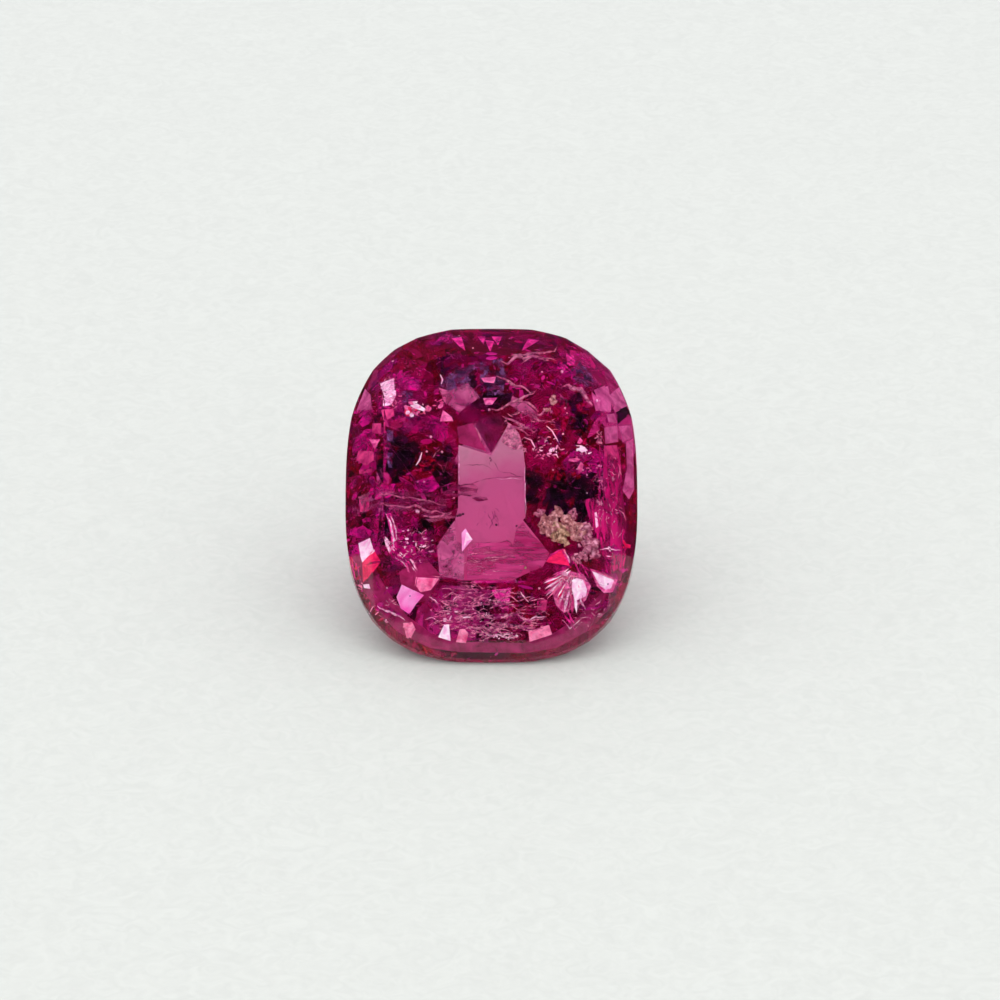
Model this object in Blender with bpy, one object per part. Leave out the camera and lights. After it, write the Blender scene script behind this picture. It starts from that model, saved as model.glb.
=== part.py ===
"""A cushion-cut gemstone lying tilted on the broad main facet under its front end.

The stone is first cut upright, with its table facing +Z and its girdle around the origin,
the way a cutter holds it on a dop: a rounded column is ground by one flat plane per facet.
It is then tilted forward until the broad main facet of its underside lies on the ground.
"""

import math

import bmesh
import bpy
from mathutils import Matrix, Vector

MM = 0.001

# The girdle outline is a rounded rectangle, seen from above the table.
STONE_WIDTH = 6.04 * MM
STONE_LENGTH = 7.62 * MM
OUTLINE_SQUARENESS = 2.8
OUTLINE_SEGMENTS = 96

# Heights along the axis that runs through the table.
GIRDLE_THICKNESS = 0.14 * MM
CROWN_HEIGHT = 0.90 * MM
PAVILION_DEPTH = 3.10 * MM

# The stone lies on the front main facet, so that facet's slope is the tilt of the whole stone.
REST_SLOPE = 39.2

# The flat bottom face is a small rectangle, set back from the middle.
CULET_WIDTH = 1.40 * MM
CULET_FRONT = 0.09 * MM
CULET_BACK = 1.59 * MM

GIRDLE_TOP = GIRDLE_THICKNESS / 2
GIRDLE_BOTTOM = -GIRDLE_THICKNESS / 2
TABLE_Z = GIRDLE_TOP + CROWN_HEIGHT
CULET_Z = GIRDLE_BOTTOM - PAVILION_DEPTH

# Compass directions of the facets, in degrees around the stone: 0 is its right, 90 its back.
RIGHT = 0
BACK = 90
LEFT = 180
FRONT = 270

# Lower crown, ground first, from the girdle up: direction and slope.
CROWN_BREAKS = [
    (RIGHT, 55),
    (24, 54),
    (44, 52),
    (59, 50),
    (74, 48),
    (BACK, 46),
    (106, 47.5),
    (121, 49),
    (136, 51),
    (156, 53),
    (LEFT, 54),
    (204, 53),
    (225, 50),
    (239, 47),
    (254, 46),
    (FRONT, 45),
    (286, 46),
    (301, 47),
    (315, 50),
    (336, 53),
]

# Upper crown: direction, slope, and how far in and how high above the girdle it starts, in mm.
CROWN_MAINS = [
    (RIGHT, 47, 0.22, 0.30),
    (43, 40, 0.24, 0.29),
    (66, 39, 0.28, 0.28),
    (BACK, 38, 0.30, 0.28),
    (115, 39, 0.28, 0.28),
    (137, 39, 0.25, 0.29),
    (LEFT, 46, 0.22, 0.30),
    (222, 36, 0.26, 0.28),
    (256, 31, 0.27, 0.27),
    (FRONT, 31, 0.27, 0.28),
    (284, 31, 0.27, 0.27),
    (318, 36, 0.26, 0.28),
]

# Upper pavilion, from the girdle down: direction and slope.
PAVILION_BREAKS = [
    (RIGHT, 61),
    (26, 60),
    (79, 57.5),
    (BACK, 58.5),
    (101, 57.5),
    (154, 60),
    (LEFT, 62),
    (206, 58),
    (226, 52),
    (240, 46),
    (255, 43.5),
    (285, 43.5),
    (300, 46),
    (314, 52),
    (334, 58),
]

# Two tiers of the middle pavilion: direction, slope, and the distance in mm from the axis at
# the tier's height above the flat bottom face.
UPPER_RISE = 1.92 * MM
UPPER_MAINS = [
    (RIGHT, 57, 2.31),
    (31, 56.5, 2.81),
    (50, 55.5, 2.80),
    (72, 54.6, 3.08),
    (BACK, 54.3, 3.05),
    (106, 54.8, 3.065),
    (118, 55.3, 2.965),
    (146, 56.5, 2.87),
    (LEFT, 57, 2.28),
    (210, 51, 2.66),
    (330, 51, 2.64),
]
MIDDLE_RISE = 0.48 * MM
MIDDLE_MAINS = [
    (RIGHT, 52, 1.24),
    (50, 52.5, 1.71),
    (BACK, 53, 1.983),
    (118, 52.5, 1.87),
    (LEFT, 53, 1.22),
    (228, 43, 1.22),
    (312, 43, 1.22),
]

# Lowest pavilion, down to the flat bottom face: direction, slope and distance from the axis.
CULET_FACETS = [
    (RIGHT, 41, CULET_WIDTH / 2),
    (66, 46, CULET_BACK * math.sin(math.radians(66))),
    (BACK, 51.5, CULET_BACK),
    (112, 48, CULET_BACK * math.sin(math.radians(112))),
    (LEFT, 42, CULET_WIDTH / 2),
    (FRONT, 34.7, -CULET_FRONT),
]


def outline_reach(direction):
    """How far the outline reaches in one direction: the distance of its tangent there."""
    power = OUTLINE_SQUARENESS / (OUTLINE_SQUARENESS - 1)
    across = STONE_WIDTH / 2 * abs(math.cos(math.radians(direction)))
    along = STONE_LENGTH / 2 * abs(math.sin(math.radians(direction)))
    return (across**power + along**power) ** (1 / power)


def outline_point(turn):
    """A point of the rounded outline, by its parameter in radians."""
    cosine, sine = math.cos(turn), math.sin(turn)
    power = 2 / OUTLINE_SQUARENESS
    x = STONE_WIDTH / 2 * math.copysign(abs(cosine) ** power, cosine)
    y = STONE_LENGTH / 2 * math.copysign(abs(sine) ** power, sine)
    return x, y


def make_preform():
    """The rough column that the facets are ground into."""
    preform = bmesh.new()
    bmesh.ops.create_circle(preform, cap_ends=True, segments=OUTLINE_SEGMENTS, radius=1.0)
    for corner in preform.verts:
        x, y = outline_point(math.atan2(corner.co.y, corner.co.x))
        corner.co = Vector((x, y, CULET_Z))
    raised = bmesh.ops.extrude_face_region(preform, geom=preform.faces[:])
    top = [item for item in raised["geom"] if isinstance(item, bmesh.types.BMVert)]
    bmesh.ops.translate(preform, verts=top, vec=(0, 0, TABLE_Z - CULET_Z))
    bmesh.ops.recalc_face_normals(preform, faces=preform.faces)
    return preform


def grind(stone, direction, slope, reach, height, side):
    """Grinds one flat facet.

    The facet faces outwards in its direction and slopes away from the girdle plane. It passes
    through the point at this reach from the axis and at this height. Side is 1 on the crown
    and -1 on the pavilion.
    """
    turn = math.radians(direction)
    tip = math.radians(slope)
    outward = Vector((math.cos(turn), math.sin(turn), 0))
    normal = outward * math.sin(tip) + Vector((0, 0, side * math.cos(tip)))
    point = outward * reach + Vector((0, 0, height))
    everything = stone.verts[:] + stone.edges[:] + stone.faces[:]
    cut = bmesh.ops.bisect_plane(
        stone, geom=everything, dist=1e-8, plane_co=point, plane_no=normal, clear_outer=True
    )
    rim = [item for item in cut["geom_cut"] if isinstance(item, bmesh.types.BMEdge)]
    rim = [edge for edge in rim if edge.is_boundary]
    bmesh.ops.edgeloop_fill(stone, edges=rim)


def grind_crown(stone):
    for direction, slope in CROWN_BREAKS:
        grind(stone, direction, slope, outline_reach(direction), GIRDLE_TOP, 1)
    for direction, slope, inset, rise in CROWN_MAINS:
        reach = outline_reach(direction) - inset * MM
        grind(stone, direction, slope, reach, GIRDLE_TOP + rise * MM, 1)


def grind_pavilion(stone):
    for direction, slope in PAVILION_BREAKS:
        grind(stone, direction, slope, outline_reach(direction), GIRDLE_BOTTOM, -1)
    for direction, slope, reach in UPPER_MAINS:
        grind(stone, direction, slope, reach * MM, CULET_Z + UPPER_RISE, -1)
    for direction, slope, reach in MIDDLE_MAINS:
        grind(stone, direction, slope, reach * MM, CULET_Z + MIDDLE_RISE, -1)
    for direction, slope, reach in CULET_FACETS:
        grind(stone, direction, slope, reach, CULET_Z, -1)
    grind(stone, FRONT, REST_SLOPE, outline_reach(FRONT), GIRDLE_BOTTOM, -1)


def lay_down(stone):
    """Tilts the stone onto its front main facet and centres it over the origin."""
    tilt = Matrix.Rotation(math.radians(REST_SLOPE), 4, "X")
    bmesh.ops.transform(stone, matrix=tilt, verts=stone.verts)
    low_x, high_x = (pick(corner.co.x for corner in stone.verts) for pick in (min, max))
    low_y, high_y = (pick(corner.co.y for corner in stone.verts) for pick in (min, max))
    low_z = min(corner.co.z for corner in stone.verts)
    middle = Vector(((low_x + high_x) / 2, (low_y + high_y) / 2, low_z))
    bmesh.ops.translate(stone, verts=stone.verts, vec=-middle)


def make_stone():
    stone = make_preform()
    grind_crown(stone)
    grind_pavilion(stone)
    bmesh.ops.remove_doubles(stone, verts=stone.verts, dist=1e-6)
    bmesh.ops.recalc_face_normals(stone, faces=stone.faces)
    lay_down(stone)
    return stone


def spinel_material():
    material = bpy.data.materials.new("magenta_spinel")
    material.use_nodes = True
    surface = material.node_tree.nodes["Principled BSDF"]
    surface.inputs["Base Color"].default_value = (0.55, 0.04, 0.24, 1)
    surface.inputs["Roughness"].default_value = 0.03
    surface.inputs["Metallic"].default_value = 0.0
    surface.inputs["Transmission Weight"].default_value = 1.0
    surface.inputs["IOR"].default_value = 1.718
    return material


def main():
    for leftover in list(bpy.data.objects):
        bpy.data.objects.remove(leftover)
    mesh = bpy.data.meshes.new("cushion_cut_spinel")
    stone = make_stone()
    stone.to_mesh(mesh)
    stone.free()
    mesh.materials.append(spinel_material())
    bpy.context.scene.collection.objects.link(bpy.data.objects.new("cushion_cut_spinel", mesh))


main()
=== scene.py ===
"""Looks of a cushion-cut spinel that lies tilted on its front main facet."""

import math
import random

import bmesh
import bpy
from mathutils import Matrix, Vector
from mathutils.bvhtree import BVHTree


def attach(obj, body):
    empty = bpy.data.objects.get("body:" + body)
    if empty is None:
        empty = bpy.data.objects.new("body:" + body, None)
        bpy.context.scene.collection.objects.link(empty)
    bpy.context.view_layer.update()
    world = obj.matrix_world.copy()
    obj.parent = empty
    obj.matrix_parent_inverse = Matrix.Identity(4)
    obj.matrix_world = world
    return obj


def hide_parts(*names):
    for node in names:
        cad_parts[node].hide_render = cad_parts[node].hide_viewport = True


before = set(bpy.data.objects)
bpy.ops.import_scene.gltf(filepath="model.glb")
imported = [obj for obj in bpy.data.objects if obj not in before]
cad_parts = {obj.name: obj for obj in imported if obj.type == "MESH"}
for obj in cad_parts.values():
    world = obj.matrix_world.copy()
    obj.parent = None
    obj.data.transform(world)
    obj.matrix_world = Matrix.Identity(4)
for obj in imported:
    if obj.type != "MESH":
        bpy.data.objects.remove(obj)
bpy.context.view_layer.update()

MM = 0.001
NODE = "cushion_cut_spinel"

# The photograph's frame, and where the stone's outline lies in it.
PHOTO_SIZE = 1000
OUTLINE_MIDDLE = (491.5, 493.6)
PIXELS_PER_MM = 48.0
CAMERA_ELEVATION = 24.8
CAMERA_DISTANCE = 130 * MM
SENSOR = 36.0

IOR = 1.718

# The stone lies on the tips of the paper's fibres, so a little air is left under it.
FLOOR_GAP = 0.02 * MM
FLOOR_HALF_WIDTH = 1.5


class Value:
    """A shader socket that can be used in Python expressions."""

    def __init__(self, tree, socket):
        self.tree = tree
        self.socket = socket

    def combine(self, operation, *others, **settings):
        node = self.tree.nodes.new("ShaderNodeMath")
        node.operation = operation
        for name, setting in settings.items():
            setattr(node, name, setting)
        for place, item in enumerate((self, *others)):
            plug(self.tree, node.inputs[place], item)
        return Value(self.tree, node.outputs[0])

    def __add__(self, other):
        return self.combine("ADD", other)

    __radd__ = __add__

    def __mul__(self, other):
        return self.combine("MULTIPLY", other)

    __rmul__ = __mul__

    def __sub__(self, other):
        return self.combine("SUBTRACT", other)

    def __rsub__(self, other):
        return (self * -1) + other

    def ramp(self, low, high):
        """0 below low, 1 above high and smooth between."""
        node = self.tree.nodes.new("ShaderNodeMapRange")
        node.interpolation_type = "SMOOTHSTEP"
        for name, item in {"Value": self, "From Min": low, "From Max": high}.items():
            plug(self.tree, node.inputs[name], item)
        return Value(self.tree, node.outputs[0])


def plug(tree, socket, item):
    """Links a Value to a socket, or sets the socket's own number or colour."""
    if isinstance(item, Value):
        tree.links.new(item.socket, socket)
    else:
        socket.default_value = item


class Maker:
    """Adds nodes to one node tree."""

    def __init__(self, tree):
        self.tree = tree
        tree.nodes.clear()

    def add(self, kind, settings=None, out=0, **inputs):
        node = self.tree.nodes.new("ShaderNode" + kind)
        for name, setting in (settings or {}).items():
            setattr(node, name, setting)
        for name, item in inputs.items():
            key = int(name[1:]) if name[0] == "_" else name.replace("_", " ")
            plug(self.tree, node.inputs[key], item)
        return Value(self.tree, node.outputs[out]) if len(node.outputs) else None


def new_material(name):
    material = bpy.data.materials.new(name)
    material.use_nodes = True
    return material, Maker(material.node_tree)


# Sight lines: the camera, and points inside the stone that show at a pixel of the photograph.

def sight_axes():
    elevation = math.radians(CAMERA_ELEVATION)
    sight = Vector((0, math.cos(elevation), -math.sin(elevation)))
    right = Vector((1, 0, 0))
    return right, right.cross(sight), sight


def camera_place():
    right, up, sight = sight_axes()
    corners = [corner.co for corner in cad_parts[NODE].data.vertices]
    across = [corner.dot(right) for corner in corners]
    along = [corner.dot(up) for corner in corners]
    depth = [corner.dot(sight) for corner in corners]
    middle = [(min(values) + max(values)) / 2 for values in (across, along, depth)]
    middle[0] += (PHOTO_SIZE / 2 - OUTLINE_MIDDLE[0]) / PIXELS_PER_MM * MM
    middle[1] -= (PHOTO_SIZE / 2 - OUTLINE_MIDDLE[1]) / PIXELS_PER_MM * MM
    return right * middle[0] + up * middle[1] + sight * (middle[2] - CAMERA_DISTANCE)


def make_camera():
    right, up, sight = sight_axes()
    data = bpy.data.cameras.new("studio_camera")
    data.sensor_width = SENSOR
    data.lens = SENSOR * CAMERA_DISTANCE * PIXELS_PER_MM / (PHOTO_SIZE * MM)
    data.clip_start = 5 * MM
    data.clip_end = 20
    camera = bpy.data.objects.new("studio_camera", data)
    camera.location = camera_place()
    camera.rotation_euler = (-sight).to_track_quat("Z", "Y").to_euler()
    bpy.context.scene.collection.objects.link(camera)
    bpy.context.scene.camera = camera


def make_floor():
    bm = bmesh.new()
    bmesh.ops.create_grid(bm, x_segments=1, y_segments=1, size=FLOOR_HALF_WIDTH)
    bmesh.ops.translate(bm, verts=bm.verts, vec=(0, 0, -FLOOR_GAP))
    floor = finish_piece(bm, "floor", floor_material())


def floor_material():
    material, maker = new_material("pale_floor")
    spot = maker.add("TexCoord", out="Object")
    fibres = maker.add("TexNoise", Vector=spot, Scale=2200.0, Detail=3.0, Distortion=2.0)
    color = color_ramp(maker, fibres, (0.30, (0.229, 0.236, 0.184)), (0.70, (0.246, 0.254, 0.198)))
    surface = maker.add("BsdfPrincipled", Base_Color=color, Roughness=0.9)
    maker.add("OutputMaterial", Surface=surface)
    return material


def finish_piece(bm, name, material, smooth=False):
    mesh = bpy.data.meshes.new(name)
    bm.to_mesh(mesh)
    bm.free()
    for face in mesh.polygons:
        face.use_smooth = smooth
    mesh.materials.append(material)
    piece = bpy.data.objects.new(name, mesh)
    bpy.context.scene.collection.objects.link(piece)
    return piece


# Studio light. Matt things get the even light of a white tent. What the polished facets mirror
# is a dim room with bright panels: azimuth, elevation, half width, soft edge and brightness.

TENT_LIGHT = 3.8
ROOM_LIGHT = 0.035
ROOM_COLOR = (0.93, 0.93, 1.12, 1)

# What shows behind the floor's edge.
BACKDROP_COLOR = (0.80, 0.83, 0.81, 1)

PANELS = [
    (232, 42, 20, 14, 0.50),
    (308, 42, 20, 14, 0.55),
    (268, 47, 5, 4, 1.02),
    (40, 56, 12, 6, 0.8),
    (150, 58, 12, 6, 2.0),
    (90, 66, 12, 6, 1.6),
]


def make_sky():
    world = bpy.data.worlds.new("studio_tent")
    world.use_nodes = True
    world.cycles.sampling_method = "NONE"
    bpy.context.scene.world = world
    maker = Maker(world.node_tree)
    direction = maker.add("TexCoord", out=0)
    room = ROOM_LIGHT
    for azimuth, elevation, half, edge, strength in PANELS:
        turn, rise = math.radians(azimuth), math.radians(elevation)
        aim = (math.cos(turn) * math.cos(rise), math.sin(turn) * math.cos(rise), math.sin(rise))
        facing = maker.add("VectorMath", {"operation": "DOT_PRODUCT"}, out=1, _0=direction, _1=aim)
        edges = math.cos(math.radians(half + edge)), math.cos(math.radians(half))
        room = facing.ramp(*edges) * strength + room
    matt = maker.add("LightPath", out="Diffuse Depth").ramp(0, 1)
    level = room * (1 - matt) + matt * TENT_LIGHT
    tent = maker.add("Background", Color=ROOM_COLOR, Strength=level)
    backdrop = maker.add("Background", Color=BACKDROP_COLOR, Strength=1.0)
    seen = maker.add("LightPath", out="Is Camera Ray")
    glow = maker.add("MixShader", Fac=seen, _1=tent, _2=backdrop)
    maker.add("OutputWorld", Surface=glow)


def set_light_paths():
    cycles = bpy.context.scene.cycles
    cycles.max_bounces = 32
    cycles.glossy_bounces = 24
    cycles.transmission_bounces = 32
    cycles.transparent_max_bounces = 32
    cycles.diffuse_bounces = 3
    bpy.context.scene.view_settings.view_transform = "Standard"


# The crystal.

# Light lost per metre of crystal is the density times one minus the colour.
ABSORPTION_DENSITY = 620.0
ABSORPTION_COLOR = (0.915, 0.02, 0.615, 1)


def crystal_material():
    material, maker = new_material("magenta_spinel")
    spot = maker.add("TexCoord", out="Object")
    polish = maker.add("TexNoise", Vector=spot, Scale=1600.0, Detail=2.0)
    surface = maker.add(
        "BsdfPrincipled", Base_Color=(1, 1, 1, 1), Roughness=polish.ramp(0.5, 0.8) * 0.015, IOR=IOR,
        Transmission_Weight=1.0, Specular_Tint=(0.5, 0.5, 0.5, 1),
    )
    volume = maker.add("VolumeAbsorption", Color=ABSORPTION_COLOR, Density=ABSORPTION_DENSITY)
    maker.add("OutputMaterial", Surface=surface, Volume=volume)
    return material


def crystal_shape():
    bm = bmesh.new()
    bm.from_mesh(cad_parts[NODE].data)
    bmesh.ops.remove_doubles(bm, verts=bm.verts, dist=2e-7)
    bmesh.ops.dissolve_limit(bm, angle_limit=math.radians(0.2), verts=bm.verts, edges=bm.edges)
    return bm


def make_crystal():
    crystal = finish_piece(crystal_shape(), "spinel_crystal", crystal_material())
    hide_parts(NODE)
    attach(crystal, "root")


# Inclusions, sealed in the crystal. They are placed by where they show in the frame, at a share
# of the way from the facet where the sight line enters to the far side. At least a skin of
# crystal covers the flakes and threads, and nothing lies where the way through is shorter than
# the thinnest. The sight line inside starts a little in, so that it misses the facet it entered.

SKIN = 0.01 * MM
THINNEST = 0.2 * MM
JUST_INSIDE = 1e-6

# Crystal and not air covers the inclusions, so they mirror little.
FLAKE_SHINE = 0.1
FISSURE_SHINE = 0.08


def seal_in(bm, name, material, smooth=False):
    piece = finish_piece(bm, name, material, smooth)
    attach(piece, "root")


class Sight:
    """Sight lines from the camera, bent by the facet through which they enter the stone."""

    def __init__(self):
        shape = crystal_shape()
        self.facets = BVHTree.FromBMesh(shape)
        self.planes = [
            (face.normal.copy(), face.normal.dot(face.verts[0].co)) for face in shape.faces
        ]
        shape.free()
        self.eye = camera_place()
        self.axes = sight_axes()

    def enter(self, x, y):
        """The entry point, the direction inside and the way to the far side, if a pixel has them."""
        right, up, sight = self.axes
        reach = CAMERA_DISTANCE / MM * PIXELS_PER_MM
        aim = sight * reach + right * (x - PHOTO_SIZE / 2) + up * (PHOTO_SIZE / 2 - y)
        aim.normalize()
        place, normal, _, _ = self.facets.ray_cast(self.eye, aim)
        if place is None:
            return None
        cosine = -aim.dot(normal)
        bent = aim / IOR + normal * (cosine / IOR - math.sqrt(1 - (1 - cosine**2) / IOR**2))
        far, _, _, way = self.facets.ray_cast(place + bent * JUST_INSIDE, bent)
        return None if far is None else (place, bent, way)

    def point(self, x, y, share):
        """A point at this share of the way through the stone, if there is enough stone."""
        line = self.enter(x, y)
        if line is None or line[2] < THINNEST:
            return None
        place, bent, way = line
        return place + bent * (way * share)

    def cover(self, spot):
        """How much crystal covers a point: the distance to the nearest facet."""
        return min(offset - normal.dot(spot) for normal, offset in self.planes)


def random_spot(draw, x, y, half_width, half_height):
    """A pixel somewhere in an ellipse."""
    turn, reach = draw.uniform(0, math.tau), math.sqrt(draw.random())
    return x + half_width * reach * math.cos(turn), y + half_height * reach * math.sin(turn)


def random_turn(draw):
    axis = Vector((draw.gauss(0, 1), draw.gauss(0, 1), draw.gauss(0, 1))).normalized()
    return Matrix.Rotation(draw.uniform(0, math.tau), 4, axis)


class Pile:
    """Gathers many small shapes in one bmesh, a batch at a time, because that is faster."""

    BATCH = 500

    def __init__(self):
        self.whole = bmesh.new()
        self.batch = bmesh.new()

    def open(self):
        """The bmesh that the next small shape is built in."""
        if len(self.batch.verts) > self.BATCH:
            self.settle()
        return self.batch

    def settle(self):
        mesh = bpy.data.meshes.new("batch")
        self.batch.to_mesh(mesh)
        self.batch.free()
        self.whole.from_mesh(mesh)
        bpy.data.meshes.remove(mesh)
        self.batch = bmesh.new()

    def shapes(self):
        self.settle()
        self.batch.free()
        return self.whole


# A flake's thickness as a share of its size, and how widely the sizes of flakes spread.
FLAKE_FLATNESS = 0.12
FLAKE_SPREAD = 0.6


def add_flake(pile, place, size, stretch, draw):
    """One thin plate with five to seven sides."""
    shape = Matrix.Diagonal((size * stretch, size, size * FLAKE_FLATNESS, 1))
    bmesh.ops.create_cone(
        pile.open(), cap_ends=True, segments=draw.randint(5, 7), radius1=1, radius2=0.8, depth=1,
        matrix=Matrix.Translation(place) @ random_turn(draw) @ shape,
    )


# The clear middle of the stone, in pixels: straight sides down to the waist, wider below it.
WINDOW_TOP, WINDOW_WAIST, WINDOW_BOTTOM = 424, 518, 581
WINDOW_LEFT, WINDOW_RIGHT = 457, 526
WINDOW_FLARE = 0.45

# The share of the flakes there that is kept.
WINDOW_KEEP = 0.06


def in_window(x, y):
    """Whether a pixel shows the clear middle of the stone."""
    widening = max(0, y - WINDOW_WAIST) * WINDOW_FLARE
    return WINDOW_TOP < y < WINDOW_BOTTOM and WINDOW_LEFT - widening < x < WINDOW_RIGHT + widening


# Where flakes gather: middle x and y, half width and height in pixels, how many at most, their
# size in mm, how long they are drawn out, and the nearest and farthest share of the way through.
FLAKE_FIELDS = [
    (491, 495, 146, 167, 560, 0.022, 2.6, 0.12, 0.97),
    (412, 538, 30, 34, 170, 0.016, 2.0, 0.10, 0.60),
    (492, 612, 62, 30, 200, 0.022, 5.0, 0.08, 0.60),
    (555, 400, 50, 40, 130, 0.020, 4.0, 0.10, 0.50),
    (400, 405, 38, 36, 54, 0.022, 2.4, 0.10, 0.60),
    (585, 480, 32, 40, 110, 0.018, 2.0, 0.10, 0.60),
    (420, 500, 60, 16, 60, 0.020, 4.0, 0.08, 0.40),
]

# Dark blots are loose heaps of larger flakes, in the same columns. They are painted shade, for
# the dark patches of the stone.
SHADE_BLOT_FIELDS = [
    (446, 468, 10, 22, 44, 0.075, 1.6, 0.12, 0.22),
    (531, 488, 6, 17, 22, 0.070, 1.6, 0.16, 0.24),
    (404, 456, 10, 18, 32, 0.080, 1.6, 0.14, 0.24),
    (425, 462, 14, 12, 18, 0.070, 1.6, 0.14, 0.24),
    (561, 490, 10, 20, 34, 0.080, 1.6, 0.14, 0.24),
    (589, 490, 12, 18, 36, 0.080, 1.6, 0.12, 0.22),
    (575, 512, 20, 6, 16, 0.070, 1.6, 0.12, 0.22),
    (576, 424, 9, 13, 38, 0.075, 1.6, 0.12, 0.20),
    (571, 401, 10, 5, 18, 0.060, 1.6, 0.10, 0.18),
    (428, 523, 9, 6, 12, 0.060, 1.6, 0.14, 0.22),
    (450, 523, 5, 6, 8, 0.050, 1.6, 0.14, 0.22),
    (494, 402, 12, 10, 12, 0.060, 1.6, 0.14, 0.22),
    (380, 470, 6, 26, 14, 0.060, 1.8, 0.14, 0.22),
    (540, 560, 14, 6, 10, 0.050, 1.8, 0.12, 0.20),
    (492, 608, 56, 20, 46, 0.045, 3.0, 0.08, 0.14),
    (455, 375, 26, 12, 18, 0.060, 2.0, 0.10, 0.16),
    (590, 585, 24, 8, 12, 0.050, 2.0, 0.08, 0.14),
]

# Soft glows are loose heaps of broad, thin flakes, in the same columns.
GLOW_FIELDS = [
    (364, 440, 12, 46, 34, 0.11, 1.8, 0.10, 0.22),
    (384, 530, 24, 24, 34, 0.11, 1.8, 0.10, 0.22),
    (420, 545, 26, 24, 34, 0.10, 1.8, 0.12, 0.24),
    (610, 500, 14, 56, 60, 0.10, 1.8, 0.10, 0.22),
    (583, 464, 18, 9, 22, 0.09, 1.8, 0.10, 0.20),
    (396, 486, 40, 8, 18, 0.10, 1.8, 0.10, 0.20),
    (354, 520, 9, 45, 30, 0.08, 1.6, 0.06, 0.16),
    (434, 430, 14, 12, 14, 0.09, 1.8, 0.10, 0.20),
    (574, 362, 17, 15, 50, 0.09, 1.8, 0.06, 0.16),
    (612, 575, 16, 16, 16, 0.10, 1.8, 0.06, 0.12),
    (395, 372, 24, 18, 22, 0.11, 1.8, 0.12, 0.24),
    (590, 590, 30, 20, 22, 0.10, 1.8, 0.10, 0.20),
    (352, 560, 10, 20, 12, 0.08, 1.6, 0.08, 0.20),
    (380, 595, 22, 22, 20, 0.10, 1.8, 0.10, 0.20),
]

# Sparks are small bright flakes near the surface, by finish, in the same columns.
SPARK_FIELDS = {
    "pink": [
        (417, 408, 13, 7, 26, 0.040, 1.8, 0.05, 0.07),
        (438, 404, 4, 5, 8, 0.030, 1.8, 0.05, 0.07),
        (586, 467, 14, 4, 16, 0.020, 1.6, 0.05, 0.07),
        (573, 458, 5, 3, 8, 0.020, 1.6, 0.05, 0.07),
        (572, 592, 12, 12, 26, 0.036, 3.0, 0.024, 0.03),
    ],
    "red": [
        (412, 409, 8, 5, 5, 0.050, 1.8, 0.06, 0.08),
        (356, 572, 6, 14, 10, 0.050, 1.8, 0.05, 0.07),
        (626, 546, 5, 4, 6, 0.030, 1.8, 0.04, 0.06),
    ],
    "salmon": [
        (419, 408, 10, 6, 10, 0.034, 2.0, 0.04, 0.05),
        (537, 632, 12, 8, 22, 0.034, 2.5, 0.03, 0.05),
        (360, 588, 8, 8, 10, 0.030, 2.0, 0.04, 0.05),
        (409, 630, 6, 8, 10, 0.030, 2.0, 0.03, 0.05),
        (575, 585, 16, 12, 20, 0.028, 3.0, 0.02, 0.03),
    ],
    "white": [
        (418, 403, 6, 2.5, 7, 0.036, 2.2, 0.03, 0.04),
        (413, 413, 6, 2.5, 5, 0.032, 2.2, 0.03, 0.04),
        (412, 543, 24, 16, 40, 0.013, 2.0, 0.04, 0.07),
        (546, 447, 16, 10, 24, 0.018, 3.0, 0.04, 0.06),
        (585, 450, 8, 6, 8, 0.018, 2.0, 0.04, 0.06),
        (501, 636, 18, 4, 26, 0.018, 3.0, 0.03, 0.05),
        (470, 610, 34, 18, 34, 0.014, 3.0, 0.04, 0.07),
        (578, 590, 9, 9, 14, 0.030, 2.5, 0.015, 0.02),
        (603, 581, 6, 5, 8, 0.026, 2.0, 0.015, 0.02),
        (366, 548, 5, 7, 8, 0.028, 2.0, 0.03, 0.04),
        (388, 392, 8, 12, 12, 0.022, 2.5, 0.02, 0.03),
        (612, 498, 8, 30, 22, 0.014, 5.0, 0.04, 0.07),
    ],
}


def make_flakes(name, material, fields, seed, share=1.0, scale=1.0):
    draw = random.Random(seed)
    pile = Pile()
    for x, y, half_width, half_height, count, size, stretch, near, far in fields:
        for _ in range(int(count * share)):
            at_x, at_y = random_spot(draw, x, y, half_width, half_height)
            depth, grown = draw.uniform(near, far), draw.lognormvariate(0, FLAKE_SPREAD)
            if in_window(at_x, at_y) and draw.random() > WINDOW_KEEP:
                continue
            place, long = SIGHT.point(at_x, at_y, depth), draw.uniform(1, stretch)
            radius = size * grown * scale * MM
            if place is not None and SIGHT.cover(place) > radius * long + SKIN:
                add_flake(pile, place, radius, long, draw)
    seal_in(pile.shapes(), name, material)


def make_sparks():
    for place, (finish, fields) in enumerate(SPARK_FIELDS.items()):
        make_flakes(f"{finish}_sparks", FINISHES[finish](), fields, seed=41 + place)


def color_ramp(maker, factor, *stops):
    """A ramp of colours, each with its place from 0 to 1: both ends first, then those between."""
    ramp = maker.add("ValToRGB", Fac=factor)
    elements = ramp.socket.node.color_ramp.elements
    for index, (place, color) in enumerate(stops):
        stop = elements[index] if index < 2 else elements.new(place)
        stop.position = place
        stop.color = (*color, 1)
    return ramp


def flake_material():
    material, maker = new_material("healed_fissure")
    spot = maker.add("TexCoord", out="Object")
    tone = maker.add("TexNoise", Vector=spot, Scale=1100.0, Detail=3.0)
    ramp = color_ramp(
        maker, tone, (0.38, (0.05, 0.0, 0.10)), (0.70, (0.90, 0.05, 0.42)), (0.47, (0.44, 0.0, 0.20))
    )
    surface = maker.add(
        "BsdfPrincipled", Base_Color=ramp, Roughness=0.3, Alpha=0.6, Specular_IOR_Level=FLAKE_SHINE
    )
    maker.add("OutputMaterial", Surface=surface)
    return material


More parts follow.
